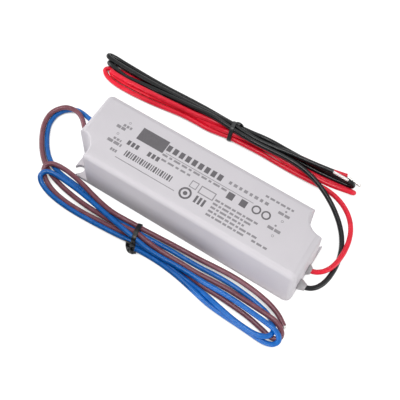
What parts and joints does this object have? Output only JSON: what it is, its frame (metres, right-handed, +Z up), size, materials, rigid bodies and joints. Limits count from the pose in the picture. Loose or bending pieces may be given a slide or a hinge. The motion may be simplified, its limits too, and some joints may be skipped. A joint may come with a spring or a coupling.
{
  "type": "led driver",
  "caption": "Potted led driver in a moulded case with a screw recess at each of two corners and tied hanks of supply and output wire.",
  "frame": {"origin": "middle of the case's underside", "axes": "+X along the case towards its output end, +Y to the rear, away from the supply wires' hank, +Z up from the base"},
  "size_m": [0.1592, 0.0948, 0.026],
  "materials": {
    "case_plastic": "fine satin moulded surface, light grey",
    "plate_plastic": "plain moulded plate",
    "potting_compound": "dark grey set resin",
    "board_laminate": "green coated glass laminate",
    "fuse_ceramic": "cream ceramic tube",
    "varistor_coating": "blue dipped epoxy",
    "film_case": "yellow moulded box",
    "choke_winding": "enamelled wire on a ring core",
    "device_epoxy": "black moulded epoxy",
    "capacitor_sleeve": "dark blue shrink sleeve",
    "ferrite": "dark grey ferrite",
    "former_plastic": "moulded coil former",
    "winding_tape": "taped windings",
    "spreader_aluminium": "plain sheet",
    "disc_coating": "blue dipped epoxy",
    "seal_rubber": "soft pale grey, slightly see-through",
    "brown_insulation": "smooth brown wire insulation",
    "blue_insulation": "smooth blue wire insulation",
    "red_insulation": "smooth red wire insulation",
    "black_insulation": "smooth black wire insulation",
    "input_wires": "brown and blue insulation side by side",
    "output_wires": "red and black insulation side by side",
    "tie_strip": "dark plastic-coated wire strip",
    "tinned_copper": "stranded copper dipped in solder"
  },
  "bodies": {
    "root": {"case_shell": "case_plastic", "base_plate": "plate_plastic", "potting": "potting_compound", "circuit_board": "board_laminate", "fuse": "fuse_ceramic", "varistor": "varistor_coating", "film_capacitor": "film_case", "line_choke": "choke_winding", "bridge_rectifier": "device_epoxy", "storage_capacitor": "capacitor_sleeve", "transformer_core": "ferrite", "transformer_former": "former_plastic", "transformer_winding": "winding_tape", "switch_transistor": "device_epoxy", "heat_spreader": "spreader_aluminium", "controller_chip": "device_epoxy", "feedback_coupler": "device_epoxy", "safety_capacitor": "disc_coating", "output_diode": "device_epoxy", "output_capacitors": "capacitor_sleeve", "brown_seal": "seal_rubber", "blue_seal": "seal_rubber", "red_seal": "seal_rubber", "black_seal": "seal_rubber", "brown_lead": "brown_insulation", "blue_lead": "blue_insulation", "red_lead": "red_insulation", "black_lead": "black_insulation", "input_hank": "input_wires", "output_hank": "output_wires", "input_tie": "tie_strip", "output_tie": "tie_strip", "red_tinned_end": "tinned_copper", "black_tinned_end": "tinned_copper"}
  },
  "joints": []
}
